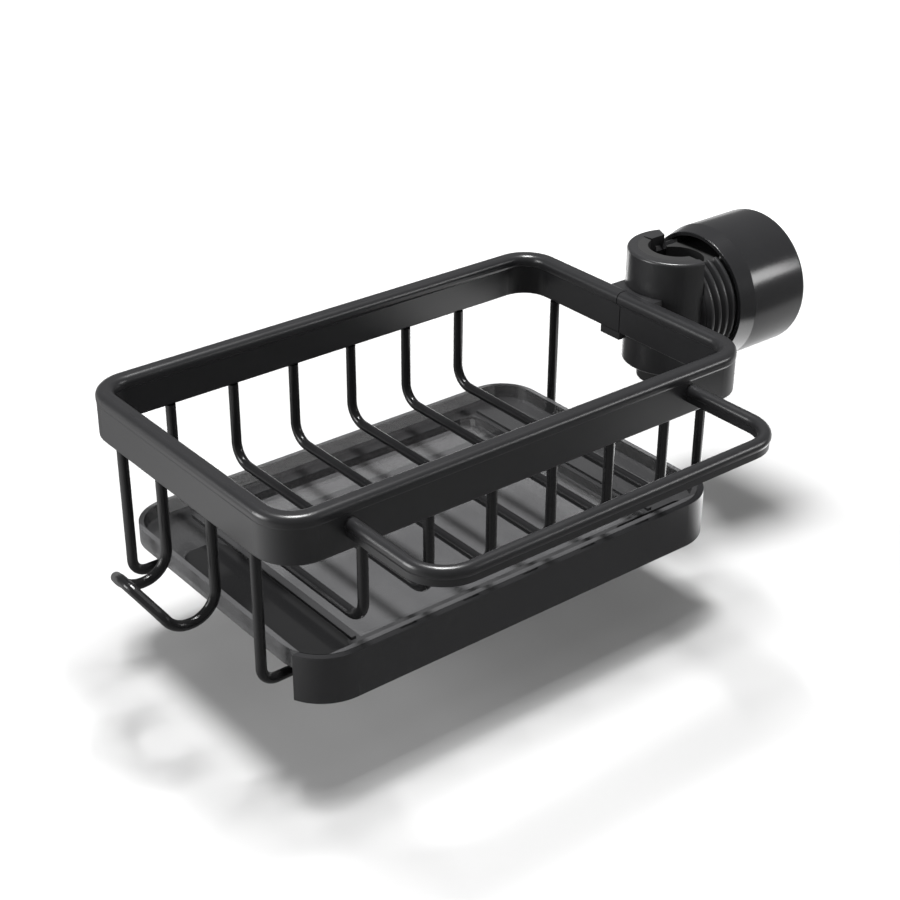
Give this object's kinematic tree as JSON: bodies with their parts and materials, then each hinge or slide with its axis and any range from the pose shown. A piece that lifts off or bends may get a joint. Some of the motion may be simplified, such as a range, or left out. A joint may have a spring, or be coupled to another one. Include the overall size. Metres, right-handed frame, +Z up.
{
  "type": "sink organizer basket",
  "caption": "Wire sink basket with a rounded rim, pull-out drip tray, towel bar, side hook and a screw pipe clamp with a turning knob.",
  "frame": {"origin": "on the axis of the pipe that the clamp holds, at mid height of the clamp jaw", "axes": "+Z up along the pipe; +X from the basket to the clamp knob, along the knob's axis; +Y to the back, so the towel bar and the tray's front are toward -Y"},
  "size_m": [0.3134, 0.1782, 0.0969],
  "materials": {
    "coated_aluminium": "satin black powder coat",
    "coated_wire": "satin black coat on steel wire",
    "dark_steel": "blackened",
    "smoked_plastic": "smoky, see-through",
    "gloss_plastic": "semi-gloss black",
    "black_plastic": "satin black",
    "rubber": "matte black"
  },
  "bodies": {
    "basket": {"rim_frame": "coated_aluminium", "basket_wire_1": "coated_wire", "basket_wire_2": "coated_wire", "basket_wire_3": "coated_wire", "basket_wire_4": "coated_wire", "basket_wire_5": "coated_wire", "basket_wire_6": "coated_wire", "tray_rail_front": "coated_wire", "tray_rail_back": "coated_wire", "side_hook": "coated_wire", "towel_bar": "coated_aluminium", "bar_screws": "dark_steel", "clamp_jaw": "black_plastic", "clamp_saddle": "black_plastic", "jaw_liner": "rubber"},
    "tray": {"tray_pan": "smoked_plastic", "tray_front": "gloss_plastic"},
    "pusher": {"pusher_block": "black_plastic", "pusher_pad": "rubber"},
    "knob": {"clamp_knob": "black_plastic"}
  },
  "joints": [
    {"name": "tray_slide", "type": "slide", "parent": "basket", "child": "tray", "axis": [0, -1, 0], "range_m": [0, 0.1]},
    {"name": "pusher_slide", "type": "slide", "parent": "basket", "child": "pusher", "axis": [1, 0, 0], "range_m": [-0.003, 0.009]},
    {"name": "knob_turn", "type": "hinge", "parent": "pusher", "child": "knob", "pos_m": [0, 0, 0], "axis": [1, 0, 0], "range_deg": [-268, 808]}
  ],
  "couplings": [
    {"joint": "pusher_slide", "follows": "knob_turn", "m_per_rad": 0.00063662}
  ]
}
